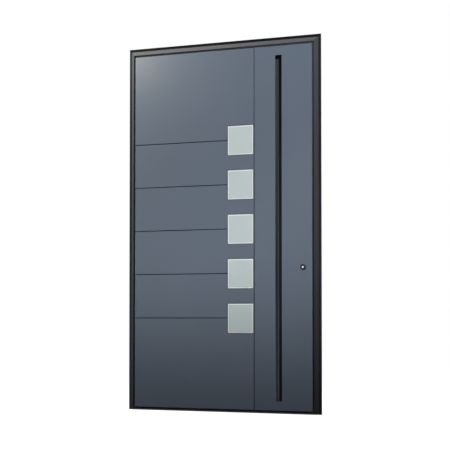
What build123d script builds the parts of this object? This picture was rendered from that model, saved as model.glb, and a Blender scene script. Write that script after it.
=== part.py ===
import os

from build123d import *

os.makedirs("parts", exist_ok=True)

# Frame: x to the right, y into the house, z up, origin on the floor at mid-width and mid-thickness
frame_width = 1500
frame_height = 2500
strip_width = 19  # black cover strip seen outside the band
strip_thickness = 4
strip_tuck = 11  # part of the cover strip behind the band
band_width = 27  # sloping band between cover strip and leaf
band_rise = 17
band_nose = 1.5
threshold_height = 12
threshold_nose = 4
threshold_ramp = 10
rib_count = 7  # fine grooves along the threshold's top
rib_pitch = 8
rib_gap = 3
rib_depth = 1.5
fixing_radius = 5
fixing_depth = 29  # fixing holes behind the leaf's middle plane
fixing_end = 130  # frame's end to the first fixing
fixing_inner_end = 550

# Stops and seals in the gap between leaf and frame
stop_thickness = 6
seal_depth = 5
seal_width = 6
seal_round = 2
seal_clearance = 5
seal_inset = 1
lock_stop_clearance = 3
pivot_stop_clearance = 9

# Leaf
leaf_thickness = 80
leaf_gap = 12
head_gap = 15
floor_gap = 8
lock_edge_clearance = 6
pivot_step = 16  # how far the inner half of the pivot edge stands back
step_offset = 2  # steps in the edges, each side of the leaf's middle plane
skin_thickness = 6
skin_chamfer = 1.5
pivot_stile_width = 70
lock_stile_width = 100
mid_stile_width = 70
mid_stile_lap = 10
rail_height = 50
brush_width = 10
brush_offset = 28
top_brush_height = 9
bottom_brush_height = 6

# Grooves, joint and panes
groove_width = 6
groove_floor = 5
groove_depth = 4
groove_rise = 2.5  # grooves above the panes' middles
joint_width = 5
pane_size = 196
pane_pitch = 299
pane_count = 5
pane_offset = 150  # middle of the panes, right of the frame's middle
pane_drop = 4  # middle pane below the leaf's middle
pane_thickness = 8
pane_chamfer = 1.5
pane_seal = 4.5
pane_seal_set = 1
spacer_inset = 2
spacer_width = 10

# Grip channels
grip_offset = 441.5  # middle of the opening, right of the frame's middle
grip_width = 48
grip_depth = 35
grip_wall = 3
grip_undercut = 12
grip_margin = 61  # leaf's end to the end of the opening

# Lock
lock_offset = 68  # leaf's outer lock edge to the cylinder
lock_height = 965
cylinder_radius = 8.5
cylinder_proud = 7
cylinder_clearance = 0.5
rose_radius = 20
rose_height = 6
rose_round = 3
turn_shaft_radius = 6
turn_gap = 4
turn_length = 36
turn_width = 9
turn_depth = 18
turn_round = 4
faceplate_length = 1600
faceplate_bottom = 220
faceplate_width = 24
faceplate_thickness = 3
faceplate_offset = 16
bolt_margin = 80  # faceplate's end to the outer bolts
bolt_width = 14
bolt_length = 34
bolt_depth = 20
strike_pocket = 12
strike_length = 160
strike_hole_width = 16
strike_hole_length = 40

# Pivots
pivot_offset = 250  # leaf's outer pivot edge to the pivot's axis
pivot_clearance = 0.1
plate_length = 140
plate_width = 36
plate_thickness = 4
block_length = 120
block_width = 40
block_height = 36
spindle_radius = 10
spindle_length = 28
collar_radius = 17
collar_clearance = 0.3
pin_radius = 8
pin_length = 26
pin_collar_radius = 13
pin_collar_height = 4
tip_chamfer = 1.5
bore_spare = 1

# Lines shared by the pieces
x_out = frame_width / 2
frame_wall = strip_width + band_width
x_wall = x_out - frame_wall
z_head = frame_height - frame_wall
x_leaf = x_wall - leaf_gap
x_lock_edge = x_wall - lock_edge_clearance
z_top = z_head - head_gap
z_bottom = threshold_height + floor_gap
z_mid = (z_top + z_bottom) / 2
leaf_height = z_top - z_bottom
y_face = leaf_thickness / 2
y_skin = y_face - skin_thickness
y_strip = y_face - band_rise - band_nose
x_pivot = -x_leaf + pivot_offset
x_joint = pane_offset + pane_size / 2 + pane_seal
x_right_panel = x_joint + joint_width
window_size = pane_size + 2 * pane_seal
pane_heights = [z_mid - pane_drop + pane_pitch * (i - (pane_count - 1) / 2) for i in range(pane_count)]
groove_heights = [z + groove_rise for z in pane_heights]
x_grip_left = grip_offset - grip_width / 2
x_grip_right = grip_offset + grip_width / 2
grip_length = leaf_height - 2 * grip_margin
x_cylinder = x_leaf - lock_offset
faceplate_top = faceplate_bottom + faceplate_length
bolt_heights = (faceplate_bottom + bolt_margin, lock_height, faceplate_top - bolt_margin)
fixing_heights = [fixing_end, fixing_inner_end, frame_height - fixing_inner_end, frame_height - fixing_end]
x_pivot_stile = -x_leaf + pivot_stile_width
x_lock_stile = x_leaf - lock_stile_width
y_stop = step_offset + seal_clearance + seal_depth + stop_thickness / 2
y_seal = step_offset + seal_clearance + seal_depth / 2

# Jambs with their stops, mitred to the head
for side, sign in (("left", -1), ("right", 1)):
    x_tip = x_leaf + lock_stop_clearance
    if side == "left":
        x_tip = x_leaf - pivot_step + pivot_stop_clearance
    stop_width = x_wall - x_tip
    mitre = Plane(origin=(sign * x_out, 0, frame_height), z_dir=(-sign, 0, 1))
    with BuildPart() as jamb:
        with BuildSketch():
            with BuildLine():
                Polyline(
                    (sign * (x_out - strip_width), -y_strip),
                    (sign * (x_out - strip_width), -y_strip - band_nose),
                    (sign * x_wall, -y_face),
                    (sign * x_wall, y_face),
                    (sign * (x_out - strip_width - strip_tuck), y_face),
                    (sign * (x_out - strip_width - strip_tuck), -y_strip),
                    close=True,
                )
            make_face()
        extrude(amount=frame_height)
        split(bisect_by=mitre, keep=Keep.BOTTOM)
        with Locations(*[(sign * x_wall, fixing_depth, z) for z in fixing_heights]):
            Cylinder(
                fixing_radius,
                2 * (frame_wall - strip_width),
                rotation=(0, 90, 0),
                mode=Mode.SUBTRACT,
            )
        if side == "right":
            with Locations(*[(x_wall, faceplate_offset, z) for z in bolt_heights]):
                Box(2 * faceplate_thickness, faceplate_width, strike_length, mode=Mode.SUBTRACT)
                Box(2 * strike_pocket, strike_hole_width, strike_hole_length, mode=Mode.SUBTRACT)
    jamb.part.label = f"{side}_jamb"
    export_step(jamb.part, f"parts/{side}_jamb.step")

    # Stop on the jamb that the leaf's step closes against
    with BuildPart() as jamb_stop:
        with BuildSketch(Plane.XY.offset(threshold_height)):
            with Locations((sign * (x_wall + x_tip) / 2, -sign * y_stop)):
                Rectangle(stop_width, stop_thickness)
        extrude(amount=z_head - threshold_height)
    jamb_stop.part.label = f"{side}_jamb_stop"
    export_step(jamb_stop.part, f"parts/{side}_jamb_stop.step")

    # The soft strip that lies on the stop, towards the leaf's step
    with BuildPart() as jamb_seal:
        with BuildSketch(Plane.XY.offset(threshold_height)) as seal_section:
            with Locations((sign * (x_tip + seal_inset + seal_width / 2), -sign * y_seal)):
                Rectangle(seal_width, seal_depth)
            soft_side = seal_section.vertices().group_by(Axis.Y)[-1 if sign > 0 else 0]
            fillet(soft_side, seal_round)
        extrude(amount=z_head - threshold_height)
    jamb_seal.part.label = f"{side}_jamb_seal"
    export_step(jamb_seal.part, f"parts/{side}_jamb_seal.step")

    # Flat cover strip that lies on the wall
    with BuildPart() as cover_strip:
        with BuildSketch():
            with Locations((sign * (x_out - (strip_width + strip_tuck) / 2), -y_strip + strip_thickness / 2)):
                Rectangle(strip_width + strip_tuck, strip_thickness)
        extrude(amount=frame_height)
        split(bisect_by=mitre, keep=Keep.BOTTOM)
    cover_strip.part.label = f"{side}_cover_strip"
    export_step(cover_strip.part, f"parts/{side}_cover_strip.step")

# Head with the seat of the upper pivot plate
left_mitre = Plane(origin=(-x_out, 0, frame_height), z_dir=(1, 0, 1))
right_mitre = Plane(origin=(x_out, 0, frame_height), z_dir=(-1, 0, 1))
with BuildPart() as head_jamb:
    with BuildSketch(Plane.YZ):
        with BuildLine():
            Polyline(
                (-y_strip, frame_height - strip_width),
                (-y_strip - band_nose, frame_height - strip_width),
                (-y_face, z_head),
                (y_face, z_head),
                (y_face, frame_height - strip_width - strip_tuck),
                (-y_strip, frame_height - strip_width - strip_tuck),
                close=True,
            )
        make_face()
    extrude(amount=x_out, both=True)
    split(bisect_by=left_mitre, keep=Keep.TOP)
    split(bisect_by=right_mitre, keep=Keep.TOP)
    with Locations((x_pivot, 0, z_head)):
        Box(plate_length, plate_width, 2 * plate_thickness, mode=Mode.SUBTRACT)
head_jamb.part.label = "head_jamb"
export_step(head_jamb.part, "parts/head_jamb.step")

with BuildPart() as head_cover_strip:
    with BuildSketch(Plane.YZ):
        with Locations((-y_strip + strip_thickness / 2, frame_height - (strip_width + strip_tuck) / 2)):
            Rectangle(strip_thickness, strip_width + strip_tuck)
    extrude(amount=x_out, both=True)
    split(bisect_by=left_mitre, keep=Keep.TOP)
    split(bisect_by=right_mitre, keep=Keep.TOP)
head_cover_strip.part.label = "head_cover_strip"
export_step(head_cover_strip.part, "parts/head_cover_strip.step")

# Threshold with two ramps, a grooved top and the seat of the floor pivot plate
with BuildPart() as threshold:
    with BuildSketch(Plane.YZ):
        with BuildLine():
            Polyline(
                (-y_face, 0),
                (-y_face, threshold_nose),
                (-y_face + threshold_ramp, threshold_height),
                (y_face - threshold_ramp, threshold_height),
                (y_face, threshold_nose),
                (y_face, 0),
                close=True,
            )
        make_face()
    extrude(amount=x_wall, both=True)
    rib_lines = [rib_pitch * (i - (rib_count - 1) / 2) for i in range(rib_count)]
    with Locations(*[(0, y, threshold_height) for y in rib_lines]):
        Box(2 * x_wall, rib_gap, 2 * rib_depth, mode=Mode.SUBTRACT)
    with Locations((x_pivot, 0, threshold_height)):
        Box(plate_length, plate_width, 2 * plate_thickness, mode=Mode.SUBTRACT)
threshold.part.label = "threshold"
export_step(threshold.part, "parts/threshold.step")

# Strike plates let into the lock jamb
with BuildPart() as strike_plates:
    with Locations(*[(x_wall + faceplate_thickness / 2, faceplate_offset, z) for z in bolt_heights]):
        Box(faceplate_thickness, faceplate_width, strike_length)
        Box(faceplate_thickness, strike_hole_width, strike_hole_length, mode=Mode.SUBTRACT)
strike_plates.part.label = "strike_plates"
export_step(strike_plates.part, "parts/strike_plates.step")

# Floor pivot: a plate let into the threshold and the spindle that carries the leaf
with BuildPart() as floor_pivot_plate:
    with Locations((x_pivot, 0, threshold_height - plate_thickness / 2)):
        Box(plate_length, plate_width, plate_thickness)
floor_pivot_plate.part.label = "floor_pivot_plate"
export_step(floor_pivot_plate.part, "parts/floor_pivot_plate.step")

spindle_top = z_bottom + spindle_length
with BuildPart() as floor_spindle:
    with BuildSketch(Plane.XZ.shift_origin((x_pivot, 0, 0))):
        with BuildLine():
            Polyline(
                (0, threshold_height),
                (collar_radius, threshold_height),
                (collar_radius, z_bottom - collar_clearance),
                (spindle_radius, z_bottom - collar_clearance),
                (spindle_radius, spindle_top - tip_chamfer),
                (spindle_radius - tip_chamfer, spindle_top),
                (0, spindle_top),
                close=True,
            )
        make_face()
    revolve(axis=Axis((x_pivot, 0, 0), (0, 0, 1)))
floor_spindle.part.label = "floor_spindle"
export_step(floor_spindle.part, "parts/floor_spindle.step")

# Upper pivot: a plate let into the head and the pin that guides the leaf
with BuildPart() as head_pivot_plate:
    with Locations((x_pivot, 0, z_head + plate_thickness / 2)):
        Box(plate_length, plate_width, plate_thickness)
head_pivot_plate.part.label = "head_pivot_plate"
export_step(head_pivot_plate.part, "parts/head_pivot_plate.step")

pin_bottom = z_top - pin_length
with BuildPart() as head_pivot_pin:
    with BuildSketch(Plane.XZ.shift_origin((x_pivot, 0, 0))):
        with BuildLine():
            Polyline(
                (0, z_head),
                (pin_collar_radius, z_head),
                (pin_collar_radius, z_head - pin_collar_height),
                (pin_radius, z_head - pin_collar_height),
                (pin_radius, pin_bottom + tip_chamfer),
                (pin_radius - tip_chamfer, pin_bottom),
                (0, pin_bottom),
                close=True,
            )
        make_face()
    revolve(axis=Axis((x_pivot, 0, 0), (0, 0, 1)))
head_pivot_pin.part.label = "head_pivot_pin"
export_step(head_pivot_pin.part, "parts/head_pivot_pin.step")

# Stiles: the pivot edge steps back towards the inside, the lock edge steps out
with BuildPart() as left_stile:
    with BuildSketch(Plane.XY.offset(z_bottom)):
        with BuildLine():
            Polyline(
                (-x_leaf, -y_skin),
                (x_pivot_stile, -y_skin),
                (x_pivot_stile, y_skin),
                (-x_leaf + pivot_step, y_skin),
                (-x_leaf + pivot_step, step_offset),
                (-x_leaf, step_offset),
                close=True,
            )
        make_face()
    extrude(amount=leaf_height)
left_stile.part.label = "left_stile"
export_step(left_stile.part, "parts/left_stile.step")

with BuildPart() as right_stile:
    with BuildSketch(Plane.XY.offset(z_bottom)):
        with BuildLine():
            Polyline(
                (x_lock_stile, -y_skin),
                (x_leaf, -y_skin),
                (x_leaf, -step_offset),
                (x_lock_edge, -step_offset),
                (x_lock_edge, y_skin),
                (x_lock_stile, y_skin),
                close=True,
            )
        make_face()
    extrude(amount=leaf_height)
    with Locations((x_cylinder, 0, lock_height)):
        Cylinder(
            cylinder_radius + cylinder_clearance,
            leaf_thickness,
            rotation=(90, 0, 0),
            mode=Mode.SUBTRACT,
        )
    with Locations((x_lock_edge, faceplate_offset, faceplate_bottom + faceplate_length / 2)):
        Box(2 * faceplate_thickness, faceplate_width, faceplate_length, mode=Mode.SUBTRACT)
    with Locations(*[(x_lock_edge, faceplate_offset, z) for z in bolt_heights]):
        Box(2 * bolt_depth, bolt_width, bolt_length, mode=Mode.SUBTRACT)
right_stile.part.label = "right_stile"
export_step(right_stile.part, "parts/right_stile.step")

# Rails between the stiles, each with the seat of a pivot block
for rail_name, z_rail, z_block in (
    ("bottom_rail", z_bottom + rail_height / 2, z_bottom + block_height / 2),
    ("top_rail", z_top - rail_height / 2, z_top - block_height / 2),
):
    with BuildPart() as rail:
        with Locations(((x_pivot_stile + x_lock_stile) / 2, 0, z_rail)):
            Box(x_lock_stile - x_pivot_stile, 2 * y_skin, rail_height)
        with Locations((x_pivot, 0, z_block)):
            Box(block_length, block_width, block_height, mode=Mode.SUBTRACT)
    rail.part.label = rail_name
    export_step(rail.part, f"parts/{rail_name}.step")

# Stile behind the upright joint, notched for the glass units
with BuildPart() as mid_stile:
    with Locations((x_joint - mid_stile_lap + mid_stile_width / 2, 0, z_mid)):
        Box(mid_stile_width, 2 * y_skin, leaf_height - 2 * rail_height)
    with Locations(*[(pane_offset, 0, z) for z in pane_heights]):
        Box(window_size, leaf_thickness, window_size, mode=Mode.SUBTRACT)
mid_stile.part.label = "mid_stile"
export_step(mid_stile.part, "parts/mid_stile.step")

# Pivot blocks let into the rails
for block_name, z_block, z_bore, bore_radius, bore_depth in (
    ("bottom_pivot_block", z_bottom + block_height / 2, z_bottom, spindle_radius, spindle_length),
    ("top_pivot_block", z_top - block_height / 2, z_top, pin_radius, pin_length),
):
    with BuildPart() as block:
        with Locations((x_pivot, 0, z_block)):
            Box(block_length, block_width, block_height)
        with Locations((x_pivot, 0, z_bore)):
            Cylinder(
                bore_radius + pivot_clearance,
                2 * (bore_depth + bore_spare),
                mode=Mode.SUBTRACT,
            )
    block.part.label = block_name
    export_step(block.part, f"parts/{block_name}.step")

# Faces of the leaf and what is let into them, the same on both sides
for side, face in (("outer", -1), ("inner", 1)):
    x_panel_left = -x_leaf if face < 0 else -x_leaf + pivot_step
    x_panel_right = x_leaf if face < 0 else x_lock_edge
    skin_back = Plane.XZ.offset(-face * y_skin)
    outward = -face * skin_thickness

    # Wide panel: grooves run to the panes, which open its edge at the joint
    with BuildPart() as left_panel:
        with BuildSketch(skin_back):
            with Locations(((x_panel_left + x_joint) / 2, z_mid)):
                Rectangle(x_joint - x_panel_left, leaf_height)
        extrude(amount=outward)
        front = left_panel.faces().sort_by(Axis.Y)[0 if face < 0 else -1]
        chamfer(front.edges(), skin_chamfer)
        with BuildSketch(skin_back):
            with Locations(*[(x_joint - window_size / 2, z) for z in pane_heights]):
                Rectangle(window_size, window_size)
        extrude(amount=outward, mode=Mode.SUBTRACT)
        with BuildSketch(Plane.YZ.offset(x_panel_left)):
            for z in groove_heights:
                with BuildLine():
                    Polyline(
                        (face * y_face, z - groove_width / 2),
                        (face * y_face, z + groove_width / 2),
                        (face * (y_face - groove_depth), z + groove_floor / 2),
                        (face * (y_face - groove_depth), z - groove_floor / 2),
                        close=True,
                    )
                make_face()
        extrude(amount=x_joint - window_size - x_panel_left, mode=Mode.SUBTRACT)
    left_panel.part.label = f"{side}_left_panel"
    export_step(left_panel.part, f"parts/{side}_left_panel.step")

    # Narrow panel with the slot of the grip and the hole of the lock
    with BuildPart() as right_panel:
        with BuildSketch(skin_back):
            with Locations(((x_right_panel + x_panel_right) / 2, z_mid)):
                Rectangle(x_panel_right - x_right_panel, leaf_height)
        extrude(amount=outward)
        front = right_panel.faces().sort_by(Axis.Y)[0 if face < 0 else -1]
        chamfer(front.edges(), skin_chamfer)
        with BuildSketch(skin_back):
            with Locations((grip_offset - grip_wall / 2, z_mid)):
                Rectangle(grip_width + grip_wall, grip_length)
            with Locations((x_cylinder, lock_height)):
                Circle(cylinder_radius + cylinder_clearance)
        extrude(amount=outward, mode=Mode.SUBTRACT)
    right_panel.part.label = f"{side}_right_panel"
    export_step(right_panel.part, f"parts/{side}_right_panel.step")

    # Grip channel: its left wall comes up to the face, its right wall hides behind the panel
    y_floor = face * (y_face - grip_depth)
    with BuildPart() as grip_channel:
        with BuildSketch(Plane.XY.offset(z_mid - grip_length / 2)):
            with BuildLine():
                Polyline(
                    (x_grip_left - grip_wall, face * y_face),
                    (x_grip_left, face * y_face),
                    (x_grip_left, y_floor),
                    (x_grip_right + grip_undercut, y_floor),
                    (x_grip_right + grip_undercut, face * y_skin),
                    (x_grip_right + grip_undercut + grip_wall, face * y_skin),
                    (x_grip_right + grip_undercut + grip_wall, y_floor - face * grip_wall),
                    (x_grip_left - grip_wall, y_floor - face * grip_wall),
                    close=True,
                )
            make_face()
        extrude(amount=grip_length)
    grip_channel.part.label = f"{side}_grip_channel"
    export_step(grip_channel.part, f"parts/{side}_grip_channel.step")

    # Lids at the channel's two ends, behind the panel
    lid_depth = y_skin - (y_face - grip_depth) + grip_wall
    lid_width = grip_width + grip_undercut + 2 * grip_wall
    with BuildPart() as grip_lids:
        with Locations(
            *[
                (
                    grip_offset + grip_undercut / 2,
                    face * (y_skin - lid_depth / 2),
                    z_mid + end * (grip_length + grip_wall) / 2,
                )
                for end in (-1, 1)
            ]
        ):
            Box(lid_width, lid_depth, grip_wall)
    grip_lids.part.label = f"{side}_grip_lids"
    export_step(grip_lids.part, f"parts/{side}_grip_lids.step")

    # Soft frames around the panes
    with BuildPart() as pane_seals:
        with BuildSketch(skin_back):
            with Locations(*[(pane_offset, z) for z in pane_heights]):
                Rectangle(window_size, window_size)
                Rectangle(pane_size, pane_size, mode=Mode.SUBTRACT)
        extrude(amount=outward + face * pane_seal_set)
    pane_seals.part.label = f"{side}_pane_seals"
    export_step(pane_seals.part, f"parts/{side}_pane_seals.step")

    # Round rose around the lock cylinder
    with BuildPart() as lock_rose:
        with BuildSketch(Plane((x_cylinder, 0, lock_height), x_dir=(1, 0, 0), z_dir=(0, 0, 1))):
            with BuildLine():
                Polyline(
                    (cylinder_radius + cylinder_clearance, face * y_face),
                    (rose_radius, face * y_face),
                    (rose_radius, face * (y_face + rose_height)),
                    (cylinder_radius + cylinder_clearance, face * (y_face + rose_height)),
                    close=True,
                )
            make_face()
        revolve(axis=Axis((x_cylinder, 0, lock_height), (0, 1, 0)))
        rim = lock_rose.edges().filter_by(GeomType.CIRCLE).sort_by(SortBy.RADIUS)[-2:]
        fillet(rim.sort_by(Axis.Y)[0 if face < 0 else -1], rose_round)
    lock_rose.part.label = f"{side}_lock_rose"
    export_step(lock_rose.part, f"parts/{side}_lock_rose.step")

    # Brush strips that close the gaps above and below the leaf
    for end, z_brush, brush_height in (
        ("top", z_top + top_brush_height / 2, top_brush_height),
        ("bottom", z_bottom - bottom_brush_height / 2, bottom_brush_height),
    ):
        with BuildPart() as brush:
            with Locations(((x_panel_left + x_panel_right) / 2, face * brush_offset, z_brush)):
                Box(x_panel_right - x_panel_left, brush_width, brush_height)
        brush.part.label = f"{side}_{end}_brush"
        export_step(brush.part, f"parts/{side}_{end}_brush.step")

# Outer panes, each a piece of its own, and the inner panes
y_pane = y_face - pane_thickness / 2
for number, z in enumerate(reversed(pane_heights), start=1):
    with BuildPart() as outer_pane:
        with Locations((pane_offset, -y_pane, z)):
            Box(pane_size, pane_thickness, pane_size)
        chamfer(outer_pane.faces().sort_by(Axis.Y)[0].edges(), pane_chamfer)
    outer_pane.part.label = f"outer_pane_{number}"
    export_step(outer_pane.part, f"parts/outer_pane_{number}.step")

with BuildPart() as inner_panes:
    with Locations(*[(pane_offset, y_pane, z) for z in pane_heights]):
        Box(pane_size, pane_thickness, pane_size)
    chamfer(inner_panes.faces().group_by(Axis.Y)[-1].edges(), pane_chamfer)
inner_panes.part.label = "inner_panes"
export_step(inner_panes.part, "parts/inner_panes.step")

# Spacer frames that line the glass units between the panes
spacer_size = pane_size - 2 * spacer_inset
with BuildPart() as pane_spacers:
    with Locations(*[(pane_offset, 0, z) for z in pane_heights]):
        Box(spacer_size, 2 * (y_face - pane_thickness), spacer_size)
        Box(
            spacer_size - 2 * spacer_width,
            leaf_thickness,
            spacer_size - 2 * spacer_width,
            mode=Mode.SUBTRACT,
        )
pane_spacers.part.label = "pane_spacers"
export_step(pane_spacers.part, "parts/pane_spacers.step")

# Lock: cylinder through the leaf, thumb turn on the inside
y_turn = y_face + rose_height
with BuildPart() as lock_cylinder:
    with Locations((x_cylinder, -cylinder_proud / 2, lock_height)):
        Cylinder(cylinder_radius, leaf_thickness + cylinder_proud, rotation=(90, 0, 0))
lock_cylinder.part.label = "lock_cylinder"
export_step(lock_cylinder.part, "parts/lock_cylinder.step")

with BuildPart() as thumb_turn:
    with Locations((x_cylinder, y_face + (rose_height + turn_gap) / 2, lock_height)):
        Cylinder(turn_shaft_radius, rose_height + turn_gap, rotation=(90, 0, 0))
    with Locations((x_cylinder, y_turn + turn_gap + turn_depth / 2, lock_height)):
        Box(turn_width, turn_depth, turn_length)
    paddle_end = thumb_turn.faces().sort_by(Axis.Y)[-1]
    fillet(paddle_end.edges().filter_by(Axis.Z), turn_round)
thumb_turn.part.label = "thumb_turn"
export_step(thumb_turn.part, "parts/thumb_turn.step")

# Long faceplate on the lock edge, with its bolts drawn back flush
with BuildPart() as lock_faceplate:
    with Locations(
        (
            x_lock_edge - faceplate_thickness / 2,
            faceplate_offset,
            faceplate_bottom + faceplate_length / 2,
        )
    ):
        Box(faceplate_thickness, faceplate_width, faceplate_length)
    with Locations(*[(x_lock_edge, faceplate_offset, z) for z in bolt_heights]):
        Box(2 * bolt_depth, bolt_width, bolt_length, mode=Mode.SUBTRACT)
lock_faceplate.part.label = "lock_faceplate"
export_step(lock_faceplate.part, "parts/lock_faceplate.step")

with BuildPart() as lock_bolts:
    with Locations(*[(x_lock_edge - bolt_depth / 2, faceplate_offset, z) for z in bolt_heights]):
        Box(bolt_depth, bolt_width, bolt_length)
lock_bolts.part.label = "lock_bolts"
export_step(lock_bolts.part, "parts/lock_bolts.step")
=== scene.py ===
"""Entrance pivot door: finishes, seals, brushes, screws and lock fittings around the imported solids."""
import logging
import math
from dataclasses import dataclass, field, replace
from enum import Enum
from typing import ClassVar, Optional, Union

import bmesh
import bpy
import numpy as np
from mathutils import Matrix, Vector


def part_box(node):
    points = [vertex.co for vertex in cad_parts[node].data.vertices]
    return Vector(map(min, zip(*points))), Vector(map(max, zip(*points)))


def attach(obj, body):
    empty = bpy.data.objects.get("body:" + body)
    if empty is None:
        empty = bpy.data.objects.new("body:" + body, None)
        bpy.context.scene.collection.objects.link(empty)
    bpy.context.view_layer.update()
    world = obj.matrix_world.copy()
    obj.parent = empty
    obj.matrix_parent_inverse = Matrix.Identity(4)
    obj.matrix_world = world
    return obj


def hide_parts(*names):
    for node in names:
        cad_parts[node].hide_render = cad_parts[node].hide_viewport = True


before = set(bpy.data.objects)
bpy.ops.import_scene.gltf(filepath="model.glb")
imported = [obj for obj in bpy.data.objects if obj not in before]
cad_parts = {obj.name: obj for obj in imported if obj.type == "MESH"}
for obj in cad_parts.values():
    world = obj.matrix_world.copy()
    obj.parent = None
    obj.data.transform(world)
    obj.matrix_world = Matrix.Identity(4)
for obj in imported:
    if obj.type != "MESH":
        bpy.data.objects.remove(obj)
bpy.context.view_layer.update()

log = logging.getLogger("pivot_door")
Array = np.ndarray
Pair = tuple[float, float]
Triple = tuple[float, float, float]
Box = tuple[Vector, Vector]
Number = Union[float, Array]
Socket = bpy.types.NodeSocket
Outputs = bpy.types.bpy_prop_collection
Feed = Union[float, Socket]
Tint = Union[Triple, Socket]
Inputs = dict[Union[int, str], Union[float, Triple, Socket]]

X_AXIS, Y_AXIS, Z_AXIS = 0, 1, 2
ALONG_X: Triple = (1.0, 0.0, 0.0)
ALONG_Y: Triple = (0.0, 1.0, 0.0)
ALONG_Z: Triple = (0.0, 0.0, 1.0)
WHITE: Triple = (1.0, 1.0, 1.0)
BLACK: Triple = (0.0, 0.0, 0.0)
ROUND_STEPS = 48
MITRE: Pair = (0.75, 2.5)  # half width and height of the frame, from which its mitres start
BOLT_HEIGHTS: Triple = (0.300, 0.965, 1.740)
PANE_PITCH = 0.299


class Body(Enum):
    """The two rigid bodies that pieces ride on."""

    FRAME = "frame"
    LEAF = "leaf"


class Face(Enum):
    """The two faces of the leaf, by the sign of y they look along."""

    OUTER = -1
    INNER = 1

    @property
    def side(self) -> str:
        """The face's word in the names of pieces."""
        return self.name.lower()

    @property
    def way(self) -> Triple:
        """The direction that the face looks along."""
        return (0.0, float(self.value), 0.0)

    def surface(self, box: Box) -> float:
        """Level along y of the side of a box that looks the same way."""
        return box[0].y if self is Face.OUTER else box[1].y


@dataclass(frozen=True)
class Lamp:
    """A soft rectangular lamp."""

    name: str
    place: Triple
    aim: Triple
    width: float
    height: float
    watts: float
    spread_deg: float = 180.0
    colour: Triple = WHITE


def linear(red: float, green: float, blue: float) -> Triple:
    """Turns a display colour into a linear one, by the usual display curve.

    Args:
        red: Red, 0 to 255.
        green: Green, 0 to 255.
        blue: Blue, 0 to 255.

    Returns:
        The three linear parts, 0 to 1.
    """
    parts = np.array([red, green, blue]) / 255.0
    curve = np.where(parts <= 0.04045, parts / 12.92, ((parts + 0.055) / 1.055) ** 2.4)
    return tuple(float(part) for part in curve)


# Surfaces


def copied(faces: list[Array], step: int, count: int) -> list[Array]:
    """Repeats polygons for copies of their points.

    Args:
        faces: Polygons of the first copy.
        step: Number of points in a copy.
        count: Number of copies.

    Returns:
        The polygons of all the copies.
    """
    shift = step * np.arange(count)[:, None, None]
    return [(face[None] + shift).reshape(-1, face.shape[1]) for face in faces]


@dataclass
class Shape:
    """A mesh as arrays: points, and polygons grouped by their number of corners."""

    points: Array
    faces: list[Array]

    def repeated(self, offsets: Array) -> "Shape":
        """Copies the shape to many places.

        Args:
            offsets: One row of x, y, z for each copy.

        Returns:
            One shape holding all the copies: each point plus each offset.
        """
        points = (self.points[None] + offsets[:, None]).reshape(-1, 3)
        return Shape(points, copied(self.faces, len(self.points), len(offsets)))

    @staticmethod
    def joined(shapes: list["Shape"]) -> "Shape":
        """Puts several shapes into one.

        Args:
            shapes: The shapes, which stay as they are.

        Returns:
            One shape with all their points and polygons.
        """
        starts = np.cumsum([0] + [len(shape.points) for shape in shapes])
        faces = [face + start for shape, start in zip(shapes, starts) for face in shape.faces]
        return Shape(np.concatenate([shape.points for shape in shapes]), faces)


def angles(count: int) -> Array:
    """Evenly spread angles of one full turn, in radians."""
    return np.linspace(0.0, 2.0 * np.pi, count, endpoint=False)


def skin(grid: Array, wrapped: bool = False) -> Shape:
    """Stretches a closed skin over rings of points.

    Ring i is joined to ring i + 1 by quads, and each ring closes on itself. The first
    and last rings are filled by one polygon each, or joined to each other.

    Args:
        grid: Points as (ring, point on the ring, xyz).
        wrapped: Whether the last ring is joined to the first.

    Returns:
        The closed shape.
    """
    rings, around = grid.shape[:2]
    i = np.arange(rings if wrapped else rings - 1)[:, None]
    j = np.arange(around)[None, :]
    next_i, next_j = (i + 1) % rings, (j + 1) % around
    corners = [i * around + j, i * around + next_j, next_i * around + next_j, next_i * around + j]
    faces = [np.stack(corners, axis=-1).reshape(-1, 4)]
    if not wrapped:
        ring = np.arange(around)[None, :]
        faces += [ring[:, ::-1], (rings - 1) * around + ring]
    return Shape(grid.reshape(-1, 3), faces)


def swept(profile: Array, path: Array, across: Triple, out: Triple) -> Shape:
    """Carries a closed profile along a straight path.

    A point is the path's point plus the profile's first number times across plus its
    second number times out.

    Args:
        profile: Rows of two lengths.
        path: Rows of x, y, z.
        across: Direction of the profile's first number.
        out: Direction of the profile's second number.

    Returns:
        The closed shape.
    """
    side = profile[:, :1] * np.array(across) + profile[:, 1:] * np.array(out)
    return skin(path[:, None, :] + side[None])


def turned(radii: Array, heights: Array, centre: Triple, axis: int, sign: float = 1.0,
           wrapped: bool = False) -> Shape:
    """Turns rings about an axis of the frame.

    A point is the centre plus the ring's height along the axis plus the ring's radius
    times the cosine and sine of the angle along the two other axes.

    Args:
        radii: Radius of each ring, or of each ring at each angle.
        heights: Place of each ring along the axis.
        centre: Point on the axis where heights start.
        axis: 0, 1 or 2 for x, y or z.
        sign: 1 or -1, the way that heights run.
        wrapped: Whether the last ring is joined to the first.

    Returns:
        The closed shape.
    """
    reach = radii if radii.ndim == 2 else np.repeat(radii[:, None], ROUND_STEPS, axis=1)
    angle = angles(reach.shape[1])
    grid = np.empty(reach.shape + (3,))
    first, second = [k for k in range(3) if k != axis]
    grid[..., first] = reach * np.cos(angle)
    grid[..., second] = reach * np.sin(angle)
    grid[..., axis] = sign * heights[:, None]
    return skin(grid + np.array(centre), wrapped)


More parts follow.
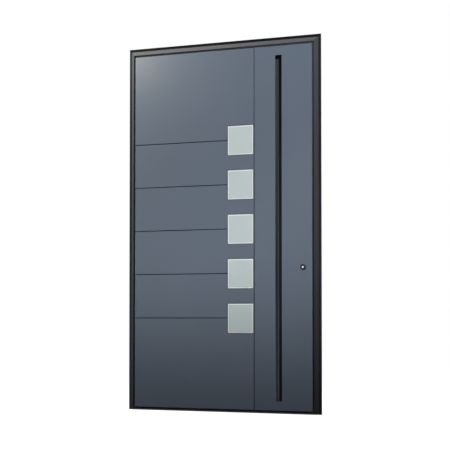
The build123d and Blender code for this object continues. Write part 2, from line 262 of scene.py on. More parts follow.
def rounded_radius(angle: Array, half_width: Number, half_height: Number, power: Number) -> Array:
    """Radius of a rounded rectangle at each angle.

    The sum of |cos| / half width and |sin| / half height, each to the power, is taken to
    the power of minus one over the power.

    Args:
        angle: Angles in radians.
        half_width: Reach at angle 0.
        half_height: Reach at a quarter turn.
        power: 2 gives an ellipse, more gives squarer corners.

    Returns:
        One radius for each angle.
    """
    wide = np.abs(np.cos(angle) / half_width) ** power
    high = np.abs(np.sin(angle) / half_height) ** power
    return (wide + high) ** (-1.0 / power)


def put(name: str, shape: Shape, finish: "Finish", body: Body, sharp_deg: float = 32.0) -> bpy.types.Object:
    """Makes an object of a shape, dresses it and lets it ride on a body.

    Args:
        name: The piece's name.
        shape: Its surface.
        finish: Its finish.
        body: The body that it moves with.
        sharp_deg: Edges that turn by more than this stay sharp.

    Returns:
        The new object, at the origin.
    """
    mesh = bpy.data.meshes.new(name)
    mesh.from_pydata(shape.points.tolist(), [], [row for face in shape.faces for row in face.tolist()])
    work = bmesh.new()
    work.from_mesh(mesh)
    bmesh.ops.recalc_face_normals(work, faces=work.faces)
    work.to_mesh(mesh)
    work.free()
    mesh.polygons.foreach_set("use_smooth", np.ones(len(mesh.polygons), dtype=bool))
    mesh.set_sharp_from_angle(angle=math.radians(sharp_deg))
    mesh.materials.append(finish.material())
    piece = bpy.data.objects.new(name, mesh)
    bpy.context.scene.collection.objects.link(piece)
    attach(piece, body.value)
    log.info("%s: %d points on %s", name, len(mesh.vertices), body.value)
    return piece


def dress(finish: "Finish", *nodes: str) -> None:
    """Gives solids a finish.

    Args:
        finish: The finish.
        nodes: Names of the solids.
    """
    for name in nodes:
        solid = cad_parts[name]
        if solid.material_slots:
            for slot in solid.material_slots:
                slot.material = finish.material()
        else:
            solid.data.materials.append(finish.material())
        log.info("%s: %s", name, finish.name)


# Finishes

# Places of the sockets for colours on a Mix node
MIX_FACTOR, MIX_FIRST, MIX_SECOND, MIX_RESULT = 0, 6, 7, 2


class Tree:
    """A node tree with short ways to add and join nodes."""

    def __init__(self, tree: bpy.types.NodeTree) -> None:
        """Takes a node tree and empties it."""
        self.tree = tree
        tree.nodes.clear()

    def add(self, kind: str, inputs: Optional[Inputs] = None, **settings: object) -> bpy.types.Node:
        """Adds a node.

        Args:
            kind: The node's type.
            inputs: What its inputs take, by name or place.
            settings: Its properties.

        Returns:
            The node.
        """
        node = self.tree.nodes.new(kind)
        for key, value in settings.items():
            setattr(node, key, value)
        self.feed(node, inputs or {})
        return node

    def feed(self, node: bpy.types.Node, inputs: Inputs) -> None:
        """Joins sockets to a node's inputs, or sets their values.

        Args:
            node: The node.
            inputs: A number, colour or socket for each input, by name or place.
        """
        for key, value in inputs.items():
            target = node.inputs[key]
            if isinstance(value, bpy.types.NodeSocket):
                self.tree.links.new(value, target)
            else:
                target.default_value = (*value, 1.0) if target.type == "RGBA" else value

    def math(self, operation: str, first: Feed, second: Feed = 0.0, clamp: bool = False) -> Socket:
        """Result of a Math node, kept between 0 and 1 if clamp is set."""
        node = self.add("ShaderNodeMath", {0: first, 1: second}, operation=operation, use_clamp=clamp)
        return node.outputs[0]

    def step(self, value: Feed, low: float, high: float) -> Socket:
        """Eases a value from 0 at low to 1 at high, which may be the smaller number."""
        inputs = {"Value": value, "From Min": low, "From Max": high}
        return self.add("ShaderNodeMapRange", inputs, interpolation_type="SMOOTHSTEP").outputs["Result"]

    def noise(self, vector: Socket, scale: Feed, detail: float) -> Socket:
        """Value of a noise texture that reads a vector."""
        inputs = {"Vector": vector, "Scale": scale, "Detail": detail}
        return self.add("ShaderNodeTexNoise", inputs).outputs[0]

    def mixed(self, factor: Feed, first: Tint, second: Tint, blend: str = "MIX") -> Socket:
        """Mix of two colours, where the factor says how much of the second shows."""
        inputs = {MIX_FACTOR: factor, MIX_FIRST: first, MIX_SECOND: second}
        return self.add("ShaderNodeMix", inputs, data_type="RGBA", blend_type=blend).outputs[MIX_RESULT]

    def times(self, colour: Tint, shade: Socket) -> Socket:
        """Product of a colour and a shade."""
        return self.mixed(1.0, colour, shade, "MULTIPLY")

    def matt(self, tone: float) -> Socket:
        """A plain matt grey shader."""
        return self.add("ShaderNodeBsdfDiffuse", {"Color": (tone, tone, tone)}).outputs[0]


# Numbers of the shared effects
NOISE_MIDDLE = 0.5
GRAIN_DETAIL = 3.0
CLOUD_DETAIL = 4.0
LINE_DETAIL = 4.0
STAIN_DETAIL = 2.0
STAIN_SCALE = 0.02
STAIN_SHARE = 0.3


class Group(Enum):
    """Effects that several finishes share, each a shader node group."""

    COAT = "coat_texture"
    DRAWN = "drawn_metal"

    def tree(self) -> bpy.types.NodeTree:
        """Finds the node group, and builds it the first time.

        Returns:
            The node group.
        """
        found = bpy.data.node_groups.get(self.value)
        if found:
            return found
        made = bpy.data.node_groups.new(self.value, "ShaderNodeTree")
        if self is Group.COAT:
            self._coat(Tree(made))
        else:
            self._drawn(Tree(made))
        return made

    def _sockets(self, kit: Tree, inputs: list[str]) -> tuple[bpy.types.Node, bpy.types.Node]:
        """Gives the group its sockets: Vector and numbers in; Shade, Roughness and Height out.

        Args:
            kit: The group's tree.
            inputs: Names of the numbers that go in, after Vector.

        Returns:
            The group's input node and output node.
        """
        face = kit.tree.interface
        face.new_socket(name="Vector", in_out="INPUT", socket_type="NodeSocketVector")
        for name in inputs:
            face.new_socket(name=name, in_out="INPUT", socket_type="NodeSocketFloat")
        for name in ("Shade", "Roughness", "Height"):
            face.new_socket(name=name, in_out="OUTPUT", socket_type="NodeSocketFloat")
        return kit.add("NodeGroupInput"), kit.add("NodeGroupOutput")

    def _coat(self, kit: Tree) -> None:
        """Sprayed coat: fine grains in relief, broad cloudy shade and a roughness that follows both.

        Args:
            kit: The group's tree.
        """
        start, end = self._sockets(kit, ["Grain", "Cloud", "Depth", "Fleck", "Rough", "Spread"])
        given = start.outputs
        grain = kit.noise(given["Vector"], given["Grain"], GRAIN_DETAIL)
        cloud = kit.noise(given["Vector"], given["Cloud"], CLOUD_DETAIL)
        broad = kit.math("SUBTRACT", cloud, NOISE_MIDDLE)
        lift = kit.math("MULTIPLY", broad, given["Depth"])
        fleck = kit.math("MULTIPLY", kit.math("SUBTRACT", grain, NOISE_MIDDLE), given["Fleck"])
        shade = kit.math("ADD", kit.math("ADD", lift, fleck), 1.0)
        worn = kit.math("MULTIPLY", kit.math("ADD", broad, fleck), given["Spread"])
        rough = kit.math("ADD", given["Rough"], worn, clamp=True)
        kit.feed(end, {"Shade": shade, "Roughness": rough, "Height": grain})

    def _drawn(self, kit: Tree) -> None:
        """Drawn or ground metal: lines of noise along one way, with a faint broad stain.

        Args:
            kit: The group's tree.
        """
        start, end = self._sockets(kit, ["Depth", "Rough", "Spread"])
        given = start.outputs
        lines = kit.noise(given["Vector"], 1.0, LINE_DETAIL)
        stain = kit.noise(given["Vector"], STAIN_SCALE, STAIN_DETAIL)
        both = kit.math("ADD", kit.math("MULTIPLY", lines, 1.0 - STAIN_SHARE),
                        kit.math("MULTIPLY", stain, STAIN_SHARE))
        level = kit.math("SUBTRACT", both, NOISE_MIDDLE)
        shade = kit.math("ADD", kit.math("MULTIPLY", level, given["Depth"]), 1.0)
        worn = kit.math("MULTIPLY", level, given["Spread"])
        rough = kit.math("ADD", given["Rough"], worn, clamp=True)
        kit.feed(end, {"Shade": shade, "Roughness": rough, "Height": lines})


class Surface(Tree):
    """A material's node tree, with its shader and the place on the piece."""

    def __init__(self, material: bpy.types.Material) -> None:
        """Gives a material a shader.

        Args:
            material: The material.
        """
        material.use_nodes = True
        super().__init__(material.node_tree)
        self.shader = self.add("ShaderNodeBsdfPrincipled")
        self.add("ShaderNodeOutputMaterial", {"Surface": self.shader.outputs[0]})
        self.place = self.add("ShaderNodeTexCoord").outputs["Object"]

    def parts(self) -> Outputs:
        """The sockets X, Y and Z of the place, by name."""
        return self.add("ShaderNodeSeparateXYZ", {0: self.place}).outputs

    def stretched(self, scale: Triple) -> Socket:
        """The place scaled along its three axes."""
        return self.add("ShaderNodeMapping", {"Vector": self.place, "Scale": scale}).outputs[0]

    def group(self, group: Group, vector: Socket, **values: float) -> Outputs:
        """Outputs of a shared effect, which reads a vector and some numbers."""
        return self.add("ShaderNodeGroup", {"Vector": vector, **values}, node_tree=group.tree()).outputs

    def relief(self, height: Socket, depth: float, strength: float) -> Socket:
        """Normal of a height from 0 to 1, where 1 stands for the depth in metres."""
        inputs = {"Height": height, "Distance": depth, "Strength": strength}
        return self.add("ShaderNodeBump", inputs).outputs["Normal"]


@dataclass(frozen=True)
class Finish:
    """What all finishes share: a name, a slot of the record and a colour."""

    name: str
    slot: str
    colour: Triple

    def material(self) -> bpy.types.Material:
        """Finds the material, and builds it the first time.

        Returns:
            The material.
        """
        found = bpy.data.materials.get(self.name)
        if found:
            return found
        made = bpy.data.materials.new(self.name)
        self._fill(Surface(made))
        return made

    def _fill(self, kit: Surface) -> None:
        """Joins the finish's own nodes to the shader."""
        raise NotImplementedError


@dataclass(frozen=True)
class Coat(Finish):
    """A sprayed coat on metal, with hairline seams where mitred lengths meet, and where set, painted shade
    or painted light towards the floor.
    """

    rough: float = 0.45
    spread: float = 0.16
    depth: float = 0.10
    grain: float = 900.0
    cloud: float = 2.2
    fleck: float = 0.40
    relief: float = 0.00015
    bump: float = 0.6
    specular: float = 0.4
    mitre: Pair = (0.0, 0.0)
    seam: Pair = (0.0009, 0.0003)
    seam_colour: Triple = (0.004, 0.004, 0.004)
    # painted shade and painted light towards the floor, standing in for how the lamps fall
    painted_shade_foot: float = 0.0
    painted_light_foot: float = 0.0
    painted_light_height: float = 0.9

    def _fill(self, kit: Surface) -> None:
        """Shade times colour, roughness and relief from the shared coat; painted shade and painted light at
        the foot where set; the seam is dark.

        Args:
            kit: The material's tree.
        """
        coat = kit.group(Group.COAT, kit.place, Grain=self.grain, Cloud=self.cloud, Depth=self.depth,
                         Fleck=self.fleck, Rough=self.rough, Spread=self.spread)
        shade = kit.times(self.colour, coat["Shade"])
        # painted shade: darker towards the floor
        if self.painted_shade_foot:
            shade = kit.mixed(self._painted_shade(kit), shade, BLACK)
        # painted light: paler towards the floor
        if self.painted_light_foot:
            shade = kit.times(shade, self._painted_light(kit))
        if self.mitre[0]:
            shade = kit.mixed(self._seam(kit), shade, self.seam_colour)
        normal = kit.relief(coat["Height"], self.relief, self.bump)
        kit.feed(kit.shader, {"Base Color": shade, "Roughness": coat["Roughness"], "Normal": normal,
                              "Specular IOR Level": self.specular})

    def _painted_shade(self, kit: Surface) -> Socket:
        """Painted shade: how much darker the coat is than at the top, most at the floor, by the square of
        the height.

        Args:
            kit: The material's tree.

        Returns:
            The share of black, which paints the shade.
        """
        share = kit.math("DIVIDE", kit.parts()["Z"], self.mitre[1])
        fall = kit.math("SUBTRACT", 1.0, kit.math("MULTIPLY", share, share))
        return kit.math("MULTIPLY", fall, self.painted_shade_foot)

    def _painted_light(self, kit: Surface) -> Socket:
        """Painted light: how much paler the coat is near the floor, 1 from a set height up, eased to more
        below it.
        """
        low = kit.step(kit.parts()["Z"], self.painted_light_height, 0.0)
        return kit.math("ADD", kit.math("MULTIPLY", low, self.painted_light_foot), 1.0)

    def _seam(self, kit: Surface) -> Socket:
        """Mask of the mitres: points as far from the frame's side as from its top.

        Args:
            kit: The material's tree.

        Returns:
            1 on the seam, 0 beside it.
        """
        parts = kit.parts()
        aside = kit.math("SUBTRACT", self.mitre[0], kit.math("ABSOLUTE", parts["X"]))
        below = kit.math("SUBTRACT", self.mitre[1], parts["Z"])
        return kit.step(kit.math("ABSOLUTE", kit.math("SUBTRACT", aside, below)), *self.seam)


@dataclass(frozen=True)
class DrawnMetal(Finish):
    """Bare metal with fine lines along one way."""

    lines: Triple = (1500.0, 1500.0, 12.0)
    rough: float = 0.32
    spread: float = 0.25
    depth: float = 0.25
    relief: float = 0.00002
    bump: float = 0.5

    def _fill(self, kit: Surface) -> None:
        """Shade times colour, roughness and relief from the shared lines.

        Args:
            kit: The material's tree.
        """
        metal = kit.group(Group.DRAWN, kit.stretched(self.lines), Depth=self.depth, Rough=self.rough,
                          Spread=self.spread)
        shade = kit.times(self.colour, metal["Shade"])
        normal = kit.relief(metal["Height"], self.relief, self.bump)
        kit.feed(kit.shader, {"Base Color": shade, "Roughness": metal["Roughness"], "Normal": normal,
                              "Metallic": 1.0})


@dataclass(frozen=True)
class Frosted(Finish):
    """Etched glass: milky and matt, with a polished edge all round each pane, painted paler as a highlight.
    """

    middle: Pair = (0.150, 0.6275)
    pitch: float = PANE_PITCH
    half: float = 0.098
    edge: Pair = (0.0085, 0.0065)
    # near-white colour of the polished edge, a painted highlight
    edge_highlight_colour: Triple = (0.93, 0.99, 1.0)
    edge_polish: float = 0.25
    rough: float = 0.55
    spread: float = 0.15
    depth: float = 0.05
    grain: float = 1600.0
    cloud: float = 9.0
    fleck: float = 0.20
    relief: float = 0.00004
    bump: float = 0.5
    ior: float = 1.5
    transmission: float = 0.15

    def _fill(self, kit: Surface) -> None:
        """Cloudy tint and fine etching; roughness falls where the pane's edge is polished, and the edge is
        painted paler, a painted highlight.

        Args:
            kit: The material's tree.
        """
        edge = self._edge(kit)
        etch = kit.group(Group.COAT, kit.place, Grain=self.grain, Cloud=self.cloud, Depth=self.depth,
                         Fleck=self.fleck, Rough=self.rough, Spread=self.spread)
        # painted highlight: the edge turns near white
        shade = kit.mixed(edge, kit.times(self.colour, etch["Shade"]), self.edge_highlight_colour)
        fall = kit.math("MULTIPLY", edge, -self.edge_polish)
        rough = kit.math("ADD", etch["Roughness"], fall, clamp=True)
        normal = kit.relief(etch["Height"], self.relief, self.bump)
        kit.feed(kit.shader, {"Base Color": shade, "Roughness": rough, "Normal": normal, "IOR": self.ior,
                              "Transmission Weight": self.transmission})

    def _edge(self, kit: Surface) -> Socket:
        """Mask of the panes' edges: the larger of the distances from a pane's middle, across and up.

        Args:
            kit: The material's tree.

        Returns:
            0 on the pane, eased to 1 at its edge.
        """
        parts = kit.parts()
        aside = kit.math("ABSOLUTE", kit.math("SUBTRACT", parts["X"], self.middle[0]))
        lowest = self.middle[1] - self.pitch / 2.0
        along = kit.math("FLOORED_MODULO", kit.math("SUBTRACT", parts["Z"], lowest), self.pitch)
        above = kit.math("ABSOLUTE", kit.math("SUBTRACT", along, self.pitch / 2.0))
        far = kit.math("MAXIMUM", aside, above)
        return kit.step(far, self.half - self.edge[0], self.half - self.edge[1])


@dataclass(frozen=True)
class Soft(Finish):
    """Rubber or fibre: dull, with a fine dusty bloom."""

    rough: float = 0.75
    spread: float = 0.2
    grain: float = 700.0
    cloud: float = 14.0
    fleck: float = 0.30
    bloom: float = 0.30
    specular: float = 0.08
    relief: float = 0.00008
    bump: float = 0.5

    def _fill(self, kit: Surface) -> None:
        """Shade times colour from the shared coat, with a strong cloudy bloom.

        Args:
            kit: The material's tree.
        """
        coat = kit.group(Group.COAT, kit.place, Grain=self.grain, Cloud=self.cloud, Depth=self.bloom,
                         Fleck=self.fleck, Rough=self.rough, Spread=self.spread)
        shade = kit.times(self.colour, coat["Shade"])
        normal = kit.relief(coat["Height"], self.relief, self.bump)
        kit.feed(kit.shader, {"Base Color": shade, "Roughness": coat["Roughness"], "Normal": normal,
                              "Specular IOR Level": self.specular})


LEAF_COAT = Coat("leaf_blue_grey", "leaf_paint", linear(98, 110, 126), rough=0.30, spread=0.06,
                 specular=0.16)
# Frame paint with painted shade: darker towards the floor.
FRAME_COAT = Coat("frame_grey", "frame_paint", linear(87, 88, 91), rough=0.55, specular=0.02, mitre=MITRE,
                  painted_shade_foot=0.48)
# Right jamb's copy: the same painted shade, plus painted light near the floor.
RIGHT_FRAME_COAT = replace(FRAME_COAT, name="right_frame_grey", colour=linear(87, 88, 92), painted_light_foot=0.65,
                           painted_light_height=0.75)
HEAD_STRIP_COAT = Coat("head_strip_black", "cover_black", linear(16, 18, 23), rough=0.55, specular=0.03,
                       mitre=MITRE)
# Side strips: lighter copies of the head strip's black, painted light.
RIGHT_STRIP_COAT = replace(HEAD_STRIP_COAT, name="right_strip_black", colour=linear(42, 45, 51))
# Left strip: also painted light near the floor.
LEFT_STRIP_COAT = replace(HEAD_STRIP_COAT, name="left_strip_black", colour=linear(39, 45, 55), painted_light_foot=1.3,
                          painted_light_height=1.1)
GRIP_COAT = Coat("satin_black_coat", "grip_black", linear(16, 17, 20), rough=0.5, specular=0.04)
CHANNEL_COAT = Coat("channel_grey", "leaf_paint", linear(90, 94, 102), rough=0.4, specular=0.12)
# Outer channel's copy with painted light near the floor, on the grip's lit wall.
LIT_CHANNEL_COAT = replace(CHANNEL_COAT, name="lit_channel_grey", painted_light_foot=1.5)
ROSE_COAT = Coat("satin_rose_coat", "grip_black", linear(50, 52, 57), rough=0.4, specular=0.10)
SILL = Coat("sill_anodised", "threshold_metal", linear(72, 73, 75), rough=0.5, specular=0.1, grain=500.0)
LOCK_STEEL = DrawnMetal("brushed_lock_steel", "lock_steel", linear(166, 168, 172), rough=0.42)
PLUG_STEEL = DrawnMetal("bright_plug_steel", "lock_steel", linear(204, 206, 210), rough=0.36)
PIVOT_STEEL = DrawnMetal("ground_pivot_steel", "pivot_steel", linear(168, 170, 174),
                         lines=(900.0, 60.0, 900.0), rough=0.36)
SPACER = DrawnMetal("spacer_bright", "spacer_metal", linear(206, 210, 212), lines=(500.0, 60.0, 500.0),
                    rough=0.45)
GLASS = Frosted("etched_glass", "frosted_glass", linear(198, 215, 218))
RUBBER = Soft("black_rubber", "seal_rubber", linear(28, 31, 36))
GASKET = Soft("grey_gasket", "seal_rubber", linear(82, 89, 100))
# Dark grip liner: painted shade on the grip's floor.
SHADE_LINER = Soft("grip_shade_liner", "grip_black", linear(34, 36, 40), rough=0.85)
FIBRE = Soft("dark_bristle", "brush_fibre", linear(84, 86, 90), rough=0.85, bloom=0.5)


# Sub-assemblies


@dataclass
class Screw:
    """A flat screw head with a hexagon socket, sunk into a plate."""

    radius: float = 0.0045
    rise: float = 0.0006
    sunk: float = 0.0008
    socket: float = 0.0032
    depth: float = 0.0005
    floor_share: float = 0.5
    rim_share: float = 1.04
    flat_share: float = 0.93
    edge_share: float = 0.4
    around: int = 24

    def shape(self, axis: int, sign: float) -> Shape:
        """Rings from the socket's floor over its rim and the head's edge into the plate.

        Args:
            axis: The way that the head looks, 0, 1 or 2 for x, y or z.
            sign: 1 or -1 along that axis.

        Returns:
            The head around the origin.
        """
        angle = angles(self.around)
        hexagon = self.socket / 2.0 / np.cos(angle % (np.pi / 3.0) - np.pi / 6.0)
        circle = np.full(self.around, self.radius)
        radii = np.stack([hexagon * self.floor_share, hexagon, hexagon * self.rim_share,
                          circle * self.flat_share, circle, circle])
        rim, floor = self.rise, self.rise - self.depth
        heights = np.array([floor, floor, rim, rim, rim * self.edge_share, -self.sunk])
        return turned(radii, heights, (0.0, 0.0, 0.0), axis, sign)


@dataclass
class FrameSet:
    """The fixed frame: jambs, head, cover strips and threshold, with the strike plates' screws."""

    strike_heights: Triple = BOLT_HEIGHTS
    strike_reach: float = 0.062
    strike_screw: float = 0.0042

    def dress(self) -> None:
        """Gives the frame's solids their finishes."""
        dress(FRAME_COAT, "left_jamb", "head_jamb", "left_jamb_stop")
        dress(RIGHT_FRAME_COAT, "right_jamb", "right_jamb_stop")
        dress(LEFT_STRIP_COAT, "left_cover_strip")
        dress(RIGHT_STRIP_COAT, "right_cover_strip")
        dress(HEAD_STRIP_COAT, "head_cover_strip")
        dress(SILL, "threshold")
        dress(LOCK_STEEL, "strike_plates")

    def build(self) -> None:
        """Screws the strike plates to the lock jamb."""
        low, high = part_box("strike_plates")
        across = (low.y + high.y) / 2.0
        places = np.array([(low.x, across, z + end * self.strike_reach)
                           for z in self.strike_heights for end in (-1.0, 1.0)])
        heads = Screw(radius=self.strike_screw).shape(X_AXIS, -1.0).repeated(places)
        put("strike_screws", heads, LOCK_STEEL, Body.FRAME)


@dataclass
class SealSet:
    """Soft seals on the jambs' stops and brush strips above and below the leaf."""

    foot: float = 0.006
    foot_rise: float = 0.0009
    neck: Pair = (0.0013, 0.0014)
    bulb: float = 0.0019
    bulb_arc_deg: Pair = (-52.0, 232.0)
    bulb_steps: int = 19
    top_holder: float = 0.0035
    bottom_holder: float = 0.0015
    bevel: float = 0.8
    root: float = 0.5
    fin: float = 0.0003
    rows: int = 4
    row_spread: float = 0.55
    end_margin: float = 0.002
    tuft_pitch: float = 0.0030
    tuft_radius: float = 0.0007
    tuft_sides: int = 5
    tuft_taper: float = 0.55
    jitter: float = 0.0006
    lean: float = 0.0009
    shortest: float = 0.95
    top_sweep: float = 0.0055
    bottom_sweep: float = 0.0018
    seed: int = 7

    def dress(self) -> None:
        """Gives the soft frames around the panes their rubber."""
        dress(GASKET, "outer_pane_seals", "inner_pane_seals")

    def build(self) -> None:
        """Makes both jamb seals, and the brushes of both faces."""
        self._jamb_seal("left_bulb_seal", "left_jamb_seal", -1.0)
        self._jamb_seal("right_bulb_seal", "right_jamb_seal", 1.0)
        for face in Face:
            top, bottom = f"{face.side}_top", f"{face.side}_bottom"
            self._brush(f"{top}_bristles", f"{top}_brush", 1.0, self.top_holder, self.top_sweep)
            self._brush(f"{bottom}_bristles", f"{bottom}_brush", -1.0, self.bottom_holder, self.bottom_sweep)

    def _jamb_seal(self, name: str, node: str, way: float) -> None:
        """Carries a flat foot with a round bulb along the jamb.

        The outline runs along the foot, up to the neck, round an arc of the bulb and back.

        Args:
            name: The piece's name.
            node: The solid that it stands for.
            way: Sign of y from the stop towards the leaf.
        """
        low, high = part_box(node)
        centre = high.y - low.y - self.bulb
        arc = np.radians(np.linspace(*self.bulb_arc_deg, self.bulb_steps))
        bulb = np.stack([self.bulb * np.cos(arc), centre + self.bulb * np.sin(arc)], axis=1)
        half, (aside, above) = self.foot / 2.0, self.neck
        right = np.array([(-half, 0.0), (half, 0.0), (half, self.foot_rise), (aside, above)])
        left = np.array([(-aside, above), (-half, self.foot_rise)])
        profile = np.concatenate([right, bulb, left])
        foot_y = low.y if way > 0 else high.y
        middle = (low.x + high.x) / 2.0
        path = np.array([(middle, foot_y, low.z), (middle, foot_y, high.z)])
        piece = put(name, swept(profile, path, ALONG_X, (0.0, way, 0.0)), RUBBER, Body.FRAME)
        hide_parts(node)

    def _brush(self, name: str, node: str, way: float, holder: float, sweep: float) -> None:
        """Sets rows of bristle tufts in a flat holder, with a thin fin between them.

        The holder and the fin are outlines carried along the strip's middle.

        Args:
            name: The piece's name.
            node: The solid that it stands for.
            way: Sign of z that the bristles point along.
            holder: Height of the holder.
            sweep: How far the bristles reach beyond the solid.
        """
        low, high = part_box(node)
        foot_z = low.z if way > 0 else high.z
        reach = high.z - low.z + sweep
        middle, half = (low.y + high.y) / 2.0, (high.y - low.y) / 2.0
        side, top, root = holder * self.bevel, half * self.bevel, holder * self.root
        block = np.array([(-half, 0.0), (half, 0.0), (half, side), (top, holder), (-top, holder),
                          (-half, side)])
        thin = np.array([(-self.fin, root), (self.fin, root), (self.fin, reach), (-self.fin, reach)])
        path = np.array([(low.x, middle, foot_z), (high.x, middle, foot_z)])
        strips = [swept(outline, path, ALONG_Y, (0.0, 0.0, way)) for outline in (block, thin)]
        tufts = self._tufts((low.x, high.x), half, root, reach)
        tufts.points[:, 1] += middle
        tufts.points[:, 2] = foot_z + way * tufts.points[:, 2]
        piece = put(name, Shape.joined([*strips, tufts]), FIBRE, Body.LEAF)
        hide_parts(node)

    def _tufts(self, span: Pair, half: float, root: float, reach: float) -> Shape:
        """Stands rows of thin tapering tufts side by side.

        A tuft runs from a ring at its root to a smaller ring at its tip, which leans a
        little in a seeded direction.

        Args:
            span: Where the rows start and end along x.
            half: Half the strip's width along y.
            root: Height of the tufts' roots.
            reach: Height of the longest tips.

        Returns:
            All the tufts, around y = 0 and pointing up from z = 0.
        """
        count = int((span[1] - span[0] - 2.0 * self.end_margin) / self.tuft_pitch)
        along = span[0] + self.end_margin + self.tuft_pitch * (np.arange(count) + 0.5)
        across = np.linspace(-half * self.row_spread, half * self.row_spread, self.rows)
        spread = np.random.default_rng(self.seed)
        feet = np.stack(np.meshgrid(along, across, indexing="ij"), axis=-1).reshape(-1, 2)
        feet = feet + spread.uniform(-self.jitter, self.jitter, feet.shape)
        lean = spread.uniform(-self.lean, self.lean, feet.shape)
        tips = reach * spread.uniform(self.shortest, 1.0, len(feet))
        angle = angles(self.tuft_sides)
        ring = self.tuft_radius * np.stack([np.cos(angle), np.sin(angle)], axis=1)
        grid = np.empty((len(feet), 2, self.tuft_sides, 3))
        grid[:, 0, :, :2] = feet[:, None] + ring
        grid[:, 1, :, :2] = (feet + lean)[:, None] + self.tuft_taper * ring
        grid[:, 0, :, 2] = root
        grid[:, 1, :, 2] = tips[:, None]
        faces = copied(skin(grid[0]).faces, 2 * self.tuft_sides, len(feet))
        return Shape(grid.reshape(-1, 3), faces)


@dataclass
class LeafSet:
    """The leaf's panels, stiles, rails, panes and grip channels, with the inlays of its joints; the grooves'
    black inlays and the grips' dark liners and plates are painted shade.
    """

    panes: int = 5
    lowest_groove: float = 0.6300
    pane_pitch: float = PANE_PITCH
    groove_start: float = 0.002
    groove_end: float = 0.0475
    groove_width: float = 0.0050
    groove_depth: float = 0.0040
    # thickness of the black groove inlays, which are painted shade
    groove_shade_inlay: float = 0.0012
    joint: Pair = (0.2525, 0.2575)
    joint_inlay: float = 0.0030
    arch_share: float = 0.25
    arch_steps: int = 9
    skin: float = 0.0060
    # dark liner on the grip's floor, painted shade
    shade_liner: float = 0.0010
    shade_liner_rib: float = 0.0060
    shade_liner_margin: float = 0.0080
    shade_liner_steps: int = 81
    shade_liner_sharp_deg: float = 60.0
    rib_share: float = 0.25
    grip_wall: float = 0.0030
    grip_end: float = 2.378
    grip_width: float = 0.048
    # thin black plate of painted shadow in each grip's upper end
    shadow_plate_thick: float = 0.0005
    shadow_plate_drop: float = 0.026
    shadow_plate_lift: float = 1.5
    shadow_plate_sharp_deg: float = 40.0
    shadow_tab_drop: float = 0.019

    def dress(self) -> None:
        """Gives the leaf's solids their finishes."""
        dress(LEAF_COAT, "outer_left_panel", "outer_right_panel", "inner_left_panel", "inner_right_panel")
        dress(LEAF_COAT, "left_stile", "right_stile", "mid_stile", "top_rail", "bottom_rail")
        dress(GLASS, *[f"outer_pane_{number}" for number in range(1, self.panes + 1)], "inner_panes")
        dress(SPACER, "pane_spacers")
        dress(LIT_CHANNEL_COAT, "outer_grip_channel")
        dress(CHANNEL_COAT, "inner_grip_channel")
        dress(GRIP_COAT, "outer_grip_lids", "inner_grip_lids")

    def build(self) -> None:
        """Lays inlays in the grooves, black as painted shade, and in the upright joint; paints shade on the
        grips' floors and shadow in their upper ends, on both faces.
        """
        for face in Face:
            self._groove_shade_inlays(face)
            self._joint_inlay(face)
            self._grip_shade_liner(face)
            self._grip_shadow_plate(face)

    def _bar(self, width: float, thick: float) -> Array:
        """Outline of a flat inlay whose top is a low arch, a half wave across its width.

        Args:
            width: The inlay's width.
            thick: Its thickness in the middle.

        Returns:
            Rows of two lengths, across and up.
        """
        across = np.linspace(width / 2.0, -width / 2.0, self.arch_steps)
        arch = thick * (1.0 - self.arch_share + self.arch_share * np.cos(np.pi * across / width))
        foot = np.array([(-width / 2.0, 0.0), (width / 2.0, 0.0)])
        return np.concatenate([foot, np.stack([across, arch], axis=1)])

    def _groove_shade_inlays(self, face: Face) -> None:
        """Carries a flat black inlay along the floor of each horizontal groove, painted shade that darkens
        the groove.

        Args:
            face: The face of the leaf.
        """
        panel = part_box(f"{face.side}_left_panel")
        floor = face.surface(panel) - face.value * self.groove_depth
        profile = self._bar(self.groove_width, self.groove_shade_inlay)
        path = np.array([(panel[0].x + self.groove_start, floor, 0.0), (self.groove_end, floor, 0.0)])
        rise = np.zeros((self.panes, 3))
        rise[:, 2] = self.lowest_groove + self.pane_pitch * np.arange(self.panes)
        inlays = swept(profile, path, ALONG_Z, face.way).repeated(rise)
        put(f"{face.side}_groove_shade_inlays", inlays, RUBBER, Body.LEAF)

    def _joint_inlay(self, face: Face) -> None:
        """Carries a flat inlay along the upright joint.

        Args:
            face: The face of the leaf.
        """
        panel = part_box(f"{face.side}_right_panel")
        floor = face.surface(panel) - face.value * self.skin
        middle = sum(self.joint) / 2.0
        profile = self._bar(self.joint[1] - self.joint[0], self.joint_inlay)
        path = np.array([(middle, floor, panel[0].z), (middle, floor, panel[1].z)])
        put(f"{face.side}_joint_inlay", swept(profile, path, ALONG_X, face.way), RUBBER, Body.LEAF)

    def _grip_floor(self, face: Face) -> float:
        """Level of the floor of the grip channel on one face."""
        low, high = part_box(f"{face.side}_grip_channel")
        return high.y - self.grip_wall if face is Face.OUTER else low.y + self.grip_wall

    def _grip_shade_liner(self, face: Face) -> None:
        """Carries a thin dark ribbed liner along the grip's floor, its top a cosine wave across; its
        darkness is painted shade in the recess.

        Args:
            face: The face of the leaf.
        """
        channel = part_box(f"{face.side}_grip_channel")
        low, high = channel[0].x + self.grip_wall + self.shade_liner_margin, channel[1].x - self.grip_wall
        floor = self._grip_floor(face)
        across = np.linspace(high, low, self.shade_liner_steps)
        wave = self.shade_liner * (1.0 + self.rib_share * np.cos(2.0 * np.pi * across / self.shade_liner_rib))
        profile = np.concatenate([[(low, 0.0), (high, 0.0)], np.stack([across, wave], axis=1)])
        path = np.array([(0.0, floor, channel[0].z), (0.0, floor, channel[1].z)])
        shape = swept(profile, path, ALONG_X, face.way)
        put(f"{face.side}_grip_shade_liner", shape, SHADE_LINER, Body.LEAF, self.shade_liner_sharp_deg)

